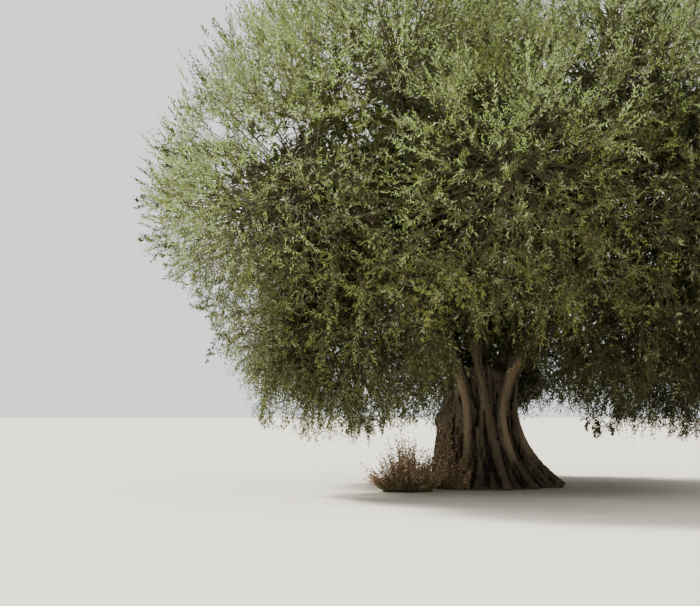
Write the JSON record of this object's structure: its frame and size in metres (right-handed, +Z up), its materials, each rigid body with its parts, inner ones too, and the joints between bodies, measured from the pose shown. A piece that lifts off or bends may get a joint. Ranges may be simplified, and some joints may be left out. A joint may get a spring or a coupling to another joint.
{
  "type": "olive tree",
  "caption": "Old spreading olive tree: a short fluted trunk flares to a flat cut at the ground and forks low into boughs under a broad dense crown that hangs in a skirt.",
  "frame": {"origin": "on level ground in the middle of the flat cut under the trunk", "axes": "+Z up, -Y the front of the tree as the picture shows it, +X to the right seen from the front"},
  "size_m": [9.2231, 9.0573, 6.9786],
  "materials": {
    "bark": "rough, furrowed old bark, matt",
    "young_bark": "smoother grey-tan bark, matt",
    "foliage": "narrow leathery leaves, dull green above and silvery below",
    "dried_foliage": "small dried reddish-brown leaves, matt"
  },
  "bodies": {
    "root": {"trunk": "bark", "bough_front": "bark", "bough_front_right": "bark", "bough_right": "bark", "bough_back_right": "bark", "bough_back_left": "bark", "bough_left": "bark", "bough_front_left": "bark", "bough_back": "bark", "bough_skirt_1": "young_bark", "bough_skirt_2": "young_bark", "bough_skirt_3": "young_bark", "bough_skirt_4": "young_bark", "bough_skirt_5": "young_bark", "bough_shoulder_1": "young_bark", "bough_shoulder_2": "young_bark", "bough_shoulder_3": "young_bark", "bough_shoulder_4": "young_bark", "bough_shoulder_5": "young_bark", "foliage_side_1": "foliage", "foliage_side_2": "foliage", "foliage_side_3": "foliage", "foliage_side_4": "foliage", "foliage_side_5": "foliage", "foliage_side_6": "foliage", "foliage_side_7": "foliage", "foliage_skirt_1": "foliage", "foliage_skirt_2": "foliage", "foliage_skirt_3": "foliage", "foliage_skirt_4": "foliage", "foliage_skirt_5": "foliage", "foliage_shoulder_1": "foliage", "foliage_shoulder_2": "foliage", "foliage_shoulder_3": "foliage", "foliage_shoulder_4": "foliage", "foliage_shoulder_5": "foliage", "foliage_top": "foliage", "basal_shoots": "dried_foliage"}
  },
  "joints": []
}
